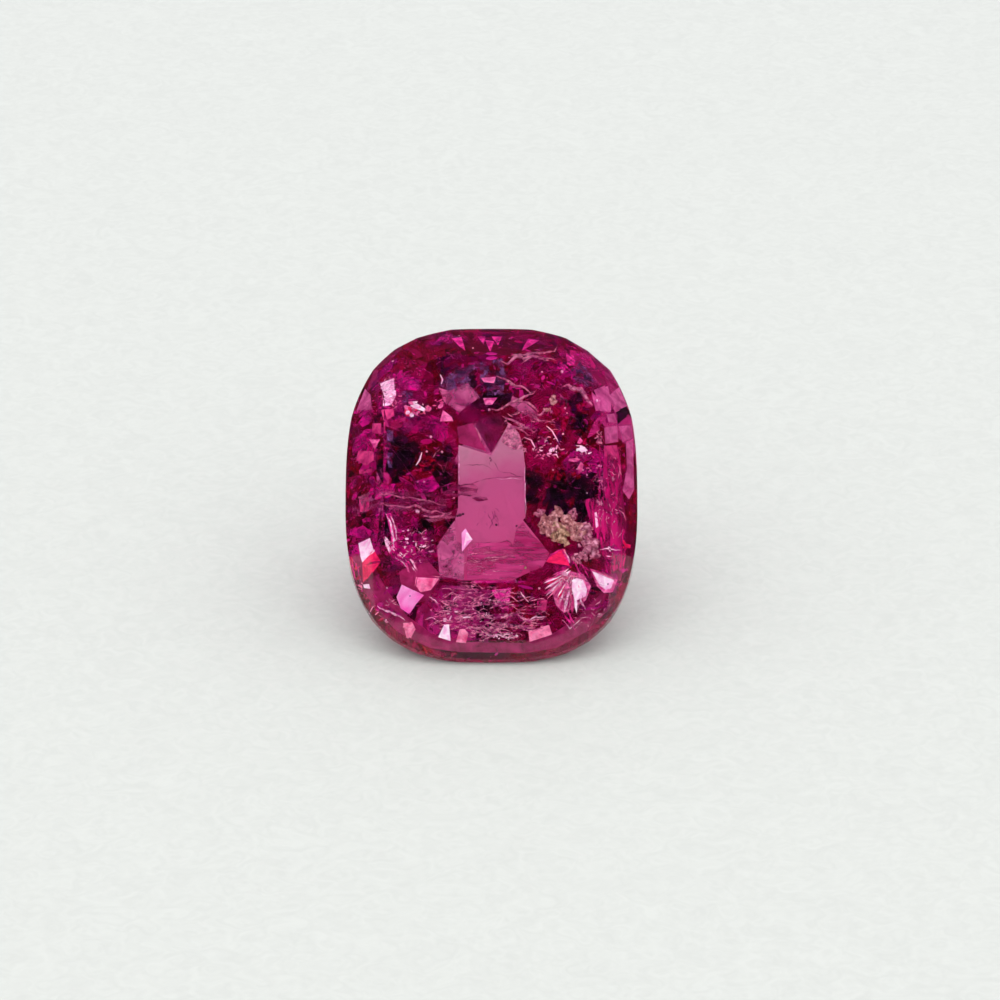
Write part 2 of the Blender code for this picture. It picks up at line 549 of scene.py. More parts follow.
def glint_material():
    material, maker = new_material("fissure_mirror")
    spot = maker.add("TexCoord", out="Object")
    grain = maker.add("TexNoise", Vector=spot, Scale=9000.0, Detail=3.0)
    color = color_ramp(maker, grain, (0.40, (0.95, 0.55, 0.75)), (0.60, (1.0, 0.90, 0.95)))
    surface = maker.add(
        "BsdfPrincipled", Base_Color=color, Roughness=grain.ramp(0.3, 0.7) * 0.2 + 0.05, Metallic=1.0,
        Alpha=grain.ramp(0.3, 0.5) * 0.5 + 0.3,
    )
    maker.add("OutputMaterial", Surface=surface)
    return material


# Veils are thin healed cracks right through the stone: the point that each one passes through, by
# pixel and share of the way, and the direction that it faces.
VEILS = [
    ((480, 500), 0.45, (0.25, -0.75, 0.61)),
    ((500, 470), 0.60, (-0.25, -0.50, 0.83)),
    ((480, 480), 0.80, (0.15, -0.80, 0.58)),
    ((420, 480), 0.45, (0.80, 0.30, 0.50)),
    ((560, 480), 0.45, (-0.85, 0.20, 0.45)),
    ((490, 600), 0.50, (0.10, 0.75, 0.65)),
    ((490, 390), 0.50, (-0.20, 0.90, 0.40)),
]
VEIL_THICKNESS = 0.004 * MM
VEIL_SPAN = 0.97

# The veils thin out in a column through the clear middle.
COLUMN_X, COLUMN_MIDDLE, COLUMN_TOP, COLUMN_BOTTOM = 491, 500, 426, 584
COLUMN_HALF_WIDTH = 0.66 * MM
COLUMN_EDGE = 0.15 * MM
COLUMN_CLEARING = 0.93


def make_veils():
    bm = bmesh.new()
    for (x, y), share, facing in VEILS:
        sheet = crystal_shape()
        middle = sum((corner.co for corner in sheet.verts), Vector()) / len(sheet.verts)
        about = Matrix.Translation(-middle)
        bmesh.ops.scale(sheet, vec=(VEIL_SPAN,) * 3, space=about, verts=sheet.verts)
        everything = sheet.verts[:] + sheet.edges[:] + sheet.faces[:]
        bmesh.ops.bisect_plane(
            sheet, geom=everything, dist=1e-8, plane_co=SIGHT.point(x, y, share), plane_no=facing,
            clear_outer=True, clear_inner=True,
        )
        bmesh.ops.edgeloop_fill(sheet, edges=sheet.edges[:])
        bmesh.ops.solidify(sheet, geom=sheet.faces[:], thickness=VEIL_THICKNESS)
        bmesh.ops.recalc_face_normals(sheet, faces=sheet.faces[:])
        mesh = bpy.data.meshes.new("sheet")
        sheet.to_mesh(mesh)
        sheet.free()
        bm.from_mesh(mesh)
        bpy.data.meshes.remove(mesh)
    seal_in(bm, "healed_veils", veil_material())


def clear_column(maker, spot):
    """1 in the clear middle of the stone and 0 round it, with soft edges."""
    _, bent, _ = SIGHT.enter(COLUMN_X, COLUMN_MIDDLE)
    upward = Vector((1, 0, 0)).cross(bent).normalized()
    ends = (SIGHT.enter(COLUMN_X, y)[0].dot(upward) for y in (COLUMN_BOTTOM, COLUMN_TOP))
    low, high = sorted(ends)
    along = maker.add("VectorMath", {"operation": "DOT_PRODUCT"}, out=1, _0=spot, _1=upward)
    across = maker.add("VectorMath", {"operation": "DOT_PRODUCT"}, out=1, _0=spot, _1=(1, 0, 0))
    across = across.combine("ABSOLUTE")
    beside = across.ramp(COLUMN_HALF_WIDTH, COLUMN_HALF_WIDTH + COLUMN_EDGE)
    over_low_end = along.ramp(low - COLUMN_EDGE, low)
    past_high_end = along.ramp(high, high + COLUMN_EDGE)
    return (1 - beside) * over_low_end * (1 - past_high_end)


def veil_material():
    material, maker = new_material("healed_veil")
    spot = maker.add("TexCoord", out="Object")
    cloud = maker.add("TexNoise", Vector=spot, Scale=900.0, Detail=2.0)
    grain = maker.add("TexNoise", Vector=spot, Scale=2600.0, Detail=2.5, Distortion=1.2)
    tone = maker.add("TexNoise", Vector=spot, Scale=1500.0, Detail=3.0)
    threads = 1 - (grain * 2 - 1).combine("ABSOLUTE")
    threads = threads.ramp(0.94, 0.995) * cloud.ramp(0.50, 0.60)
    patches = grain.ramp(0.44, 0.62) * cloud.ramp(0.46, 0.60)
    cover = (threads * 0.5 + patches * 0.5) * (1 - clear_column(maker, spot) * COLUMN_CLEARING)
    color = color_ramp(
        maker, tone, (0.36, (0.05, 0.0, 0.10)), (0.72, (0.76, 0.03, 0.34)), (0.46, (0.40, 0.0, 0.19))
    )
    surface = maker.add(
        "BsdfPrincipled", Base_Color=color, Roughness=0.4, Alpha=cover, Specular_IOR_Level=FLAKE_SHINE
    )
    maker.add("OutputMaterial", Surface=surface)
    return material


# The pane across the clear middle is painted light, for the floor seen through the stone and the
# reflection in the flare below it: its share of the way through the stone, and the pixels between
# which its colour changes.
PANE_SHARE = 0.05
PANE_ENDS = ((459, 447), (500, 578))

# Flat plates, by finish: the share of the way through the stone and the corners, as x and y in
# pixels. Some are painted light and shade: the pane, rose and dusty plates and one mauve plate
# paint glow and reflections, the violet plates paint dim reflections, the maroon and dark plates
# paint shade, and some red and white plates at the left edge paint highlights. The rest are cracks
# and crystal faces that catch the light.
PLATES = {
    "white": [
        # Painted highlight at the left edge.
        (0.05, (358.4, 543.4, 369.8, 538, 374.7, 551, 362.2, 562.4)),
        (0.02, (572, 580, 577, 578, 583, 580, 587, 589, 586, 596, 580, 599, 575, 601, 572, 590)),
        (0.03, (466, 532.5, 468, 533, 472.5, 539.5, 463.5, 548.5, 467, 541)),
        (0.03, (438.2, 637.2, 444.1, 624.7, 449, 624.2, 450.6, 641)),
        (0.04, (592, 571, 603, 575, 614, 580.3, 611, 588, 606, 590, 600, 585.7)),
        (0.04, (557.7, 577, 565.3, 571.6, 570.7, 570.5, 567.4, 575.4)),
        (0.05, (577, 449, 582, 447, 586, 450, 582, 453)),
        # Painted highlight at the left edge.
        (0.05, (363.3, 584.6, 369, 584, 370.4, 588.9, 364, 588)),
        (0.045, (410, 405.5, 417, 403.5, 426, 409, 424.5, 411.5, 415, 408.5)),
    ],
    "salmon": [
        (0.03, (456.1, 642.1, 459.8, 629.1, 464.7, 629.1, 468.5, 633.4, 465.8, 643.2)),
        (0.06, (415.9, 577, 439.8, 576.5, 431, 590, 420.3, 592.2, 414.8, 585.7)),
        (0.06, (528.4, 631.2, 549, 624.7, 552.2, 634.5, 529.5, 642)),
        (0.05, (403, 623, 412, 622, 415, 630, 411, 638, 406, 636)),
    ],
    "red": [
        # Painted highlight at the left edge.
        (0.05, (362.2, 562.4, 374.7, 551.5, 380.7, 561.8, 368.2, 578, 362.8, 582.4)),
        (0.06, (546, 562, 552, 554, 558, 550, 565, 549, 569.6, 566, 558, 564)),
        (0.06, (623.8, 543.4, 631, 545, 630, 548.5, 625, 547)),
        # Painted highlight at the left edge.
        (0.06, (347, 558, 352, 557, 356, 580, 351, 572)),
    ],
    "pink": [
        (0.045, (590, 568.5, 604, 572.5, 617.5, 580, 613, 592, 604, 593, 597, 586)),
        (0.05, (
            549, 580, 558, 572, 570, 571, 584, 575, 591, 586, 586, 600, 574, 608, 564, 613, 556, 605,
        )),
        (0.05, (369.3, 439.5, 380.1, 439.5, 374.7, 449.3)),
        (0.05, (577, 443, 580, 437.5, 583, 441, 580, 444)),
        (0.06, (443, 410.3, 451.7, 416.8, 453.3, 421.1, 439.8, 421.6)),
        (0.05, (483.2, 398.3, 497.3, 397.8, 492, 404.8, 485.3, 404.8)),
        (0.05, (481, 378, 496, 376.6, 494, 383.1, 484, 382)),
        (0.05, (405, 563, 407, 563, 410, 573, 408, 572)),
        (0.05, (410.5, 560, 413, 560.5, 417, 571, 415, 571)),
    ],
    "dusty": [
        # Painted reflection: pale pink plates for facets at the far left and far right that flash light.
        (0.06, (356.3, 411.3, 365, 388.6, 370.4, 395, 372.5, 409.2)),
        (0.06, (609.7, 395, 619.5, 385.9, 627, 405.9, 615.2, 412.4, 610.8, 401.6)),
        (0.06, (604.3, 427.6, 617.3, 425.4, 618.4, 441.7, 605.4, 443.9)),
        (0.06, (618.8, 426, 631.4, 425.4, 632.5, 437.4, 622.7, 442.3)),
        (0.06, (626, 442.8, 633.0, 438.5, 634.2, 489.4, 629.3, 499.2, 622.7, 490.5, 627, 468.8)),
        (0.06, (606.5, 414.6, 614, 413.5, 617.3, 423.3, 608.6, 422.2)),
        (0.07, (594, 390, 608, 386, 611, 412, 600, 411)),
    ],
    "feather": [
        (0.045, (501, 441, 508, 424.8, 513, 427.3, 519, 433.2, 521, 440, 523, 449, 512, 450)),
    ],
    "mauve": [
        (0.06, (
            438.7, 387.5, 448.5, 390.7, 468, 383.1, 479.9, 397.2, 470.2, 403.8, 459.3, 412.4,
            444.1, 401.6,
        )),
        (0.06, (512, 396, 522, 400, 535, 411, 538, 421, 524, 414, 510, 405)),
        # Painted reflection: this plate fills the left end of the flare below the clear middle.
        (0.04, (455, 520, 446, 532, 437, 546, 439, 578, 464, 580, 464, 546, 456, 540)),
    ],
    "petal": [
        (0.05, (401.8, 584.6, 424, 595, 416, 604, 409.4, 614, 400.7, 608.5, 396.5, 597)),
        (0.035, (461.5, 533, 465.5, 528.5, 469, 534, 472.5, 539.5, 462, 551.5)),
    ],
    "rose": [
        # Painted reflection: these plates fill the flare below the clear middle, whose facets mirror a
        # bright part of the room.
        (0.035, (
            467, 546, 474, 543, 497, 542.5, 507, 541, 513, 546, 519, 553, 527, 562, 519, 577, 513, 580,
            467, 580,
        )),
        (0.035, (
            513, 546, 516, 530, 523, 522, 530, 533, 543, 545, 549, 553, 543, 567, 530, 572, 527, 562,
            519, 553,
        )),
    ],
    "smoke": [
        (0.05, (
            358, 497, 372, 491, 400, 493, 430, 494, 447, 500, 446, 508, 430, 511, 395, 512, 362, 506,
        )),
        (0.06, (352, 508, 380, 503, 410, 508, 448, 512, 456, 517, 430, 522, 395, 517, 356, 516)),
        (0.05, (448, 530, 466, 530, 466, 590, 452, 592)),
    ],
    "pane": [
        # Painted light: a nearly opaque plate in the colour of the floor seen through the clear middle
        # and of the reflection in the flare below it.
        (PANE_SHARE, (
            458.6, 445, 473, 449.5, 487, 453.8, 490.5, 456, 497, 446, 508, 424.5, 513, 427, 519, 433,
            521, 440, 523.6, 450, 524.4, 460, 524.8, 510, 525.6, 517, 523, 520, 530, 533, 543, 545,
            549.3, 553, 543, 567, 530, 572, 519, 577, 513, 580.5, 465.7, 580.5, 457, 580, 455, 560,
            454, 540, 455.5, 518, 458, 508,
        )),
    ],
    "flush": [
        (0.06, (358.4, 450.4, 373.6, 451.5, 373.6, 460.2, 366, 465.6, 356.3, 460.2)),
        (0.06, (359, 469.9, 372.5, 468.8, 371.5, 472, 359.5, 474.3)),
        (0.06, (372.5, 423.3, 381.2, 423.3, 381.2, 434.1, 372.5, 433)),
        (0.06, (359, 498, 369, 497, 369, 511, 360, 512)),
        (0.06, (381.2, 410.3, 393.1, 408.6, 394.2, 415.7, 383.4, 420)),
        (0.06, (537, 601, 547.5, 600, 546, 611, 537, 610)),
        (0.06, (604, 446, 617, 445, 618, 458, 605, 460)),
    ],
    "curtain": [
        (0.10, (600, 458, 620, 446, 622, 490, 626, 520, 624, 566, 606, 574, 600, 540)),
        (0.11, (584, 500, 600, 496, 602, 540, 592, 528)),
        (0.12, (570, 350, 588, 354, 600, 372, 590, 366, 572, 366)),
    ],
    "blush": [
        (0.03, (380, 383.5, 394, 378, 396, 395, 391, 405, 383, 406, 384.5, 397.2)),
        (0.05, (594.5, 513, 596.5, 512, 598.5, 526, 596, 528)),
        (0.04, (385, 536.5, 388, 539, 391, 551, 389.5, 553, 386, 546)),
    ],
    "ember": [
        (0.05, (459, 443, 457, 427, 473, 423, 486, 451)),
        (0.10, (350, 556, 360, 585, 378, 612, 398, 632, 410, 618, 388, 592, 370, 566, 362, 552)),
        (0.10, (398, 632, 430, 648, 460, 652, 460, 640, 432, 634, 410, 618)),
        (0.10, (634, 556, 628, 584, 612, 606, 586, 632, 574, 620, 598, 596, 616, 572, 622, 552)),
        (0.10, (586, 632, 556, 648, 524, 653, 526, 642, 552, 634, 574, 620)),
        (0.10, (460, 652, 524, 653, 526, 643, 460, 642)),
        (0.10, (399, 572, 424, 556, 440, 580, 428, 600, 404, 606)),
    ],
    "shade": [
        (0.045, (459, 486, 466, 484, 473, 484, 479, 488, 477, 491, 478, 494, 470, 496.5, 461, 495)),
        (0.045, (472, 498, 480, 496.5, 487, 497.5, 488, 500, 478, 501.5)),
        (0.045, (440, 487, 450, 484.5, 458, 484, 464, 487, 464, 493, 458, 497, 444, 495)),
    ],
    "maroon": [
        # Painted shade: a dark plate for the dark notch seen through the top of the clear middle.
        (0.05, (475, 425, 482, 417, 500, 417, 506, 424, 491, 453)),
    ],
    "hot": [
        (0.06, (386, 514, 391, 513, 395.5, 530, 395, 552, 390, 554, 391, 535)),
        (0.05, (451.7, 338.1, 461.5, 337, 465.3, 350.6, 459.3, 346.3)),
        (0.05, (477.7, 336.5, 485.3, 336.5, 483.7, 344.6)),
        (0.05, (485.3, 340.1, 494, 341.3, 490.2, 352.2)),
        (0.05, (491.5, 336.5, 502.4, 336.5, 498, 345.2)),
        (0.05, (528.4, 338.7, 539.2, 340.3, 521.9, 351.1, 524, 346)),
        (0.10, (566, 353, 574, 356, 575, 364, 569, 366)),
    ],
    "violet": [
        # Painted reflection: dim violet plates where the facets mirror a dark, bluish part of the room.
        (0.08, (
            438.7, 384.2, 452.8, 371.2, 463.6, 364.7, 479.9, 363.6, 480, 395, 468, 384.2, 447.4, 390.7,
        )),
        (0.08, (480, 363, 502, 358.2, 506, 372, 503, 395, 480, 395)),
        (0.08, (571.8, 370.1, 580.4, 362.5, 593.5, 376.6, 600, 386.4, 585.9, 386.4, 576.1, 381)),
        (0.07, (400.7, 390.7, 412.7, 391.8, 413.2, 398.3, 402.9, 403.8)),
        (0.07, (386.6, 429.8, 393.1, 430, 393, 449.3, 387, 448)),
        (0.07, (387, 452, 393, 453, 393, 468, 388, 467)),
    ],
    "dark": [
        # Painted shade: near-black plates for dark patches of the stone.
        (0.10, (615.7, 412.4, 627, 406.5, 628.7, 413.5, 617.9, 423.8)),
        (0.07, (615.7, 412.4, 627, 406.5, 628.7, 413.5, 617.9, 423.8)),
        (0.12, (381, 505, 386, 505, 385, 545, 380, 545)),
    ],
}
PLATE_THICKNESS = 0.01 * MM

# A corner that misses the stone moves towards the plate's middle, at most this many steps.
DRAW_IN_STEPS = 12


def add_plate(pile, share, corners):
    """A thin plate with the given corners, drawn in to the stone's edge where they miss it."""
    across, down = corners[::2], corners[1::2]
    middle_x, middle_y = sum(across) / len(across), sum(down) / len(down)
    spots = []
    for x, y in zip(across, down):
        inward_x, inward_y = (middle_x - x) / DRAW_IN_STEPS, (middle_y - y) / DRAW_IN_STEPS
        tries = (
            SIGHT.point(x + inward_x * step, y + inward_y * step, share)
            for step in range(DRAW_IN_STEPS)
        )
        spots.append(next(spot for spot in tries if spot is not None))
    bm = pile.open()
    points = [bmesh.ops.create_vert(bm, co=spot)["vert"][0] for spot in spots]
    face = bmesh.ops.contextual_create(bm, geom=points)["faces"]
    bmesh.ops.solidify(bm, geom=face, thickness=PLATE_THICKNESS)


# Threads are fine cracks and needles, by finish: how thick in mm, the share of the way through
# and the points, as x and y in pixels.
THREADS = {
    "white": [
        (0.016, 0.05, (545.7, 426.5, 553, 431, 555.4, 436, 558.8, 445)),
        (0.018, 0.05, (416, 465.6, 420, 459, 422.4, 450.4)),
        (0.013, 0.05, (525, 437, 531, 441, 535, 447, 532, 452)),
        (0.018, 0.05, (576, 445, 581, 446, 585, 450, 587, 456)),
        (0.018, 0.05, (552.2, 454.7, 556, 455, 558.8, 460)),
        (0.014, 0.05, (600, 549.5, 611, 549, 623, 550)),
        (0.012, 0.05, (607, 555, 613, 556)),
        (0.014, 0.05, (440, 375, 443, 379, 441, 385)),
    ],
    "hot": [
        (0.020, 0.05, (574, 562, 578, 569, 584, 578)),
        (0.020, 0.05, (578, 561, 585, 570, 590, 579)),
        (0.016, 0.05, (582, 564, 588, 570, 594, 574)),
        (0.018, 0.05, (546, 562, 551, 555, 559, 550, 565, 549)),
        (0.018, 0.05, (562, 549, 566, 557, 570, 566)),
        (0.020, 0.05, (560, 592, 562, 602, 561, 612)),
        (0.020, 0.05, (566, 594, 568, 604, 569, 616)),
        (0.022, 0.04, (563, 612, 566, 618, 572, 625, 577, 631)),
        (0.022, 0.04, (569, 613, 571, 620, 577, 625)),
        # Painted highlights at the left edge: this thread and the next.
        (0.020, 0.05, (350, 560, 354, 572, 358, 586)),
        (0.016, 0.05, (353, 558, 358, 570, 362, 584)),
    ],
    "blush": [
        (0.007, 0.04, (497, 479, 510, 478.6, 524, 479)),
        (0.009, 0.04, (459, 447, 459, 465, 459, 484)),
        (0.010, 0.04, (524.6, 462, 525, 490, 526, 516)),
        (0.024, 0.05, (377.4, 605.2, 386.6, 611.7, 398.6, 615, 406.2, 622.6)),
        (0.016, 0.04, (581, 601, 585, 606, 586, 611)),
        (0.016, 0.04, (564, 549, 568, 557, 570, 566)),
        (0.022, 0.05, (386, 513, 391, 525, 394, 540, 390, 553)),
        (0.020, 0.05, (391, 516, 396, 530, 397, 543)),
        (0.018, 0.05, (395, 556, 401, 561, 407, 569)),
        (0.018, 0.05, (409, 559, 413, 563, 417, 570)),
        (0.018, 0.05, (485, 632, 492, 637, 500, 634, 508, 638, 517, 640)),
        (0.016, 0.05, (425, 620, 432, 617, 440, 622)),
        (0.018, 0.05, (528, 622, 536, 616, 548, 618)),
        (0.016, 0.05, (429, 597, 435, 600, 440, 606)),
        (0.016, 0.05, (520, 592, 525, 598, 530, 604)),
        (0.018, 0.05, (562, 620, 570, 628, 583, 618)),
    ],
    "shade": [
        (0.010, 0.04, (460.7, 485, 473, 483, 487, 478.6, 510, 476.4, 528, 477)),
        (0.010, 0.04, (490, 457, 498.6, 470, 515.7, 475.7, 527, 477)),
        (0.008, 0.04, (463, 466, 475, 464, 484, 465.5, 495, 470)),
        (0.008, 0.04, (492, 458, 489, 463, 491, 468)),
        (0.012, 0.03, (474, 542.5, 497, 542.5, 507, 540.5, 513, 546, 519, 553, 530, 561)),
    ],
    "feather": [
        (0.014, 0.045, (473, 424, 480, 437, 486, 450)),
        (0.012, 0.05, (436, 463, 441, 466, 444, 472, 448, 460)),
        (0.012, 0.05, (433, 458, 436, 452, 442, 448)),
        (0.060, 0.10, (561, 388, 568, 385.3, 579.4, 389.7, 587, 397.2, 593, 408)),
        (0.030, 0.05, (496.4, 374.5, 505.6, 380.4, 517.5, 385.3, 530.6, 391.8, 537, 390.7)),
        (0.034, 0.05, (502.4, 415.7, 515.4, 422.2, 528.4, 429.8, 537, 434.1)),
        (0.030, 0.05, (504, 421, 517, 428, 531, 436)),
        (0.026, 0.05, (531.6, 414.6, 539.2, 420, 545.7, 422.2)),
        (0.046, 0.08, (
            500.2, 360.4, 507.8, 363.6, 515.4, 357.1, 531.6, 353.3, 545.7, 352.2, 554.4, 351.7,
            558.8, 343,
        )),
        (0.024, 0.05, (521.9, 362.5, 531.6, 357.1, 550, 358.7, 558.8, 361.5)),
        (0.032, 0.05, (537, 388.6, 532.7, 394, 517.5, 399.4, 510, 403.8, 495.8, 410.3, 489.3, 409.7)),
        (0.036, 0.05, (532.7, 414.6, 541, 414, 547, 408)),
        (0.026, 0.05, (515.4, 399.4, 524, 402, 535, 407, 540, 413)),
        (0.030, 0.06, (381, 503, 398, 507, 415, 506, 432, 512, 453, 513)),
        (0.022, 0.06, (380, 493, 402, 497, 425, 500, 448, 506)),
        (0.030, 0.06, (423.5, 516, 438, 517, 454, 512)),
    ],
}


# A thread has a point every so many pixels, and sways to the side as it goes.
THREAD_STEP = 2.2
SWAY_TURN = 0.7
SIDE_SWAY = 0.4


def add_thread(pile, thickness, share, course, draw):
    """A thin round thread through points given in pixels, tapered to both ends."""
    stops = list(zip(course[::2], course[1::2]))
    phase, wave = draw.uniform(0, math.tau), draw.uniform(0.3, 1.0)
    spots = []
    for (x0, y0), (x1, y1) in zip(stops, stops[1:]):
        steps = max(2, round(math.dist((x0, y0), (x1, y1)) / THREAD_STEP))
        for step in range(steps):
            part = step / steps
            sway = wave * math.sin(phase + len(spots) * SWAY_TURN) + draw.uniform(-0.3, 0.3)
            x = x0 + (x1 - x0) * part + sway * SIDE_SWAY
            y = y0 + (y1 - y0) * part - sway
            spot = SIGHT.point(x, y, share)
            if spot is not None and SIGHT.cover(spot) > thickness * 1.5 * MM + SKIN:
                spots.append(spot)
    if len(spots) < 3:
        return
    bm = pile.open()
    turn = (spots[-1] - spots[0]).to_track_quat("Z", "Y").to_matrix().to_4x4()
    tapers = (math.sin(math.pi * (place + 0.5) / len(spots)) for place in range(len(spots)))
    swell = [0.15 + taper * draw.uniform(0.6, 1.1) for taper in tapers]
    ring = bmesh.ops.create_circle(
        bm, segments=5, radius=thickness * MM * swell[0], matrix=Matrix.Translation(spots[0]) @ turn
    )
    edges = list(dict.fromkeys(edge for corner in ring["verts"] for edge in corner.link_edges))
    bmesh.ops.edgeloop_fill(bm, edges=edges)
    for place in range(1, len(spots)):
        drawn = bmesh.ops.extrude_edge_only(bm, edges=edges)["geom"]
        corners = [item for item in drawn if isinstance(item, bmesh.types.BMVert)]
        edges = [
            item for item in drawn
            if isinstance(item, bmesh.types.BMEdge) and all(corner in corners for corner in item.verts)
        ]
        bmesh.ops.translate(bm, verts=corners, vec=spots[place] - spots[place - 1])
        grow = swell[place] / swell[place - 1]
        bmesh.ops.scale(bm, verts=corners, vec=(grow,) * 3, space=Matrix.Translation(-spots[place]))
    bmesh.ops.edgeloop_fill(bm, edges=edges)


# Ripples are short wavy threads: where they gather, how many, their length in pixels and how
# steeply they run, then their thickness and the share of the way through.
RIPPLE_FIELDS = {
    "ripple": [
        (600, 438, 4, 8, 10, 5, 2.0, 0.014, 0.04),
        (490, 612, 56, 26, 90, 26, 0.18, 0.012, 0.06),
        (470, 602, 34, 18, 30, 14, 0.5, 0.012, 0.06),
        (495, 632, 30, 8, 40, 8, 0.4, 0.014, 0.05),
        (492, 610, 50, 20, 26, 26, 0.35, 0.022, 0.05),
        (490, 563, 21, 14, 22, 16, 0.20, 0.008, 0.028),
        (530, 425, 30, 14, 26, 12, 0.6, 0.012, 0.06),
        (545, 448, 24, 12, 30, 6, 1.0, 0.014, 0.05),
        (412, 545, 24, 20, 50, 5, 1.0, 0.012, 0.06),
        (612, 500, 12, 50, 36, 12, 5.0, 0.011, 0.06),
        (572, 590, 14, 16, 40, 14, 5.0, 0.013, 0.03),
        (590, 612, 24, 18, 20, 10, 1.0, 0.011, 0.06),
        (385, 612, 14, 16, 14, 9, 0.9, 0.011, 0.06),
        (392, 392, 14, 16, 22, 6, 1.5, 0.012, 0.03),
    ],
    "vein": [
        (490, 519, 15, 10, 22, 8, 4.0, 0.006, 0.04),
        (447, 460, 14, 20, 20, 7, 1.2, 0.010, 0.07),
        (362, 470, 12, 60, 30, 8, 1.2, 0.012, 0.07),
        (560, 375, 40, 30, 26, 14, 0.7, 0.011, 0.08),
        (450, 380, 40, 26, 30, 10, 1.0, 0.010, 0.08),
        (395, 375, 30, 30, 16, 8, 1.0, 0.010, 0.08),
        (580, 450, 30, 40, 40, 8, 1.0, 0.010, 0.10),
        (415, 500, 40, 30, 30, 14, 0.3, 0.010, 0.08),
    ],
}


def make_ripples():
    draw = random.Random(17)
    for finish, fields in RIPPLE_FIELDS.items():
        pile = Pile()
        for x, y, half_width, half_height, count, length, steepness, thickness, share in fields:
            for _ in range(count):
                at_x, at_y = random_spot(draw, x, y, half_width, half_height)
                run = length * draw.uniform(0.4, 1.3)
                lean = math.atan(steepness * draw.uniform(-1, 1))
                bend = run * draw.uniform(-0.25, 0.25)
                dx, dy = run * math.cos(lean) / 2, run * math.sin(lean) / 2
                course = (at_x - dx, at_y - dy, at_x, at_y + bend, at_x + dx, at_y + dy)
                thick, deep = thickness * draw.uniform(0.6, 1.3), share * draw.uniform(0.7, 1.6)
                add_thread(pile, thick, deep, course, draw)
        bm = pile.shapes()
        bmesh.ops.recalc_face_normals(bm, faces=bm.faces)
        seal_in(bm, f"{finish}_threads", FINISHES[finish]())


def sealed_finish(name, stops, scale, cover, streak=(1, 1, 1), edges=(0.38, 0.58)):
    """A matt finish for inclusions: colours by noise, and how much of them shows.

    A streak under 1 draws the noise out along that axis. The edges are the noise levels at which
    the piece shows least and most.
    """
    def build():
        material, maker = new_material(name)
        spot = maker.add("TexCoord", out="Object")
        spot = maker.add("VectorMath", {"operation": "MULTIPLY"}, _0=spot, _1=streak)
        tone = maker.add("TexNoise", Vector=spot, Scale=scale, Detail=4.0, Distortion=0.6)
        color = color_ramp(maker, tone, *stops)
        grain = maker.add("TexNoise", Vector=spot, Scale=scale * 1.7, Detail=4.0, Distortion=1.0)
        thin, full = cover
        shown = grain.ramp(*edges) * (full - thin) + thin
        surface = maker.add(
            "BsdfPrincipled", Base_Color=color, Roughness=0.35, Alpha=shown,
            Specular_IOR_Level=FISSURE_SHINE,
        )
        maker.add("OutputMaterial", Surface=surface)
        return material
    return build


def window_glow_material():
    """Painted light over the clear middle, for the floor seen through it: paler to the upper left, deeper
    downwards.
    """
    material, maker = new_material("painted_window_glow")
    spot = maker.add("TexCoord", out="Object")
    start, end = (SIGHT.point(x, y, PANE_SHARE) for x, y in PANE_ENDS)
    course = end - start
    course /= course.length_squared
    along = maker.add("VectorMath", {"operation": "DOT_PRODUCT"}, out=1, _0=spot, _1=course)
    cloud = maker.add("TexNoise", Vector=spot, Scale=2400.0, Detail=3.0, Distortion=0.8)
    color = color_ramp(
        maker, along - start.dot(course) + (cloud - 0.5) * 0.22,
        (0.0, (0.50, 0.256, 0.29)), (0.92, (0.48, 0.03, 0.135)), (0.30, (0.47, 0.10, 0.205)),
        (0.72, (0.50, 0.082, 0.195)),
    )
    surface = maker.add(
        "BsdfPrincipled", Base_Color=color, Roughness=0.4, Alpha=cloud.ramp(0.35, 0.50) * 0.10 + 0.86,
        Specular_IOR_Level=FISSURE_SHINE,
    )
    maker.add("OutputMaterial", Surface=surface)
    return material
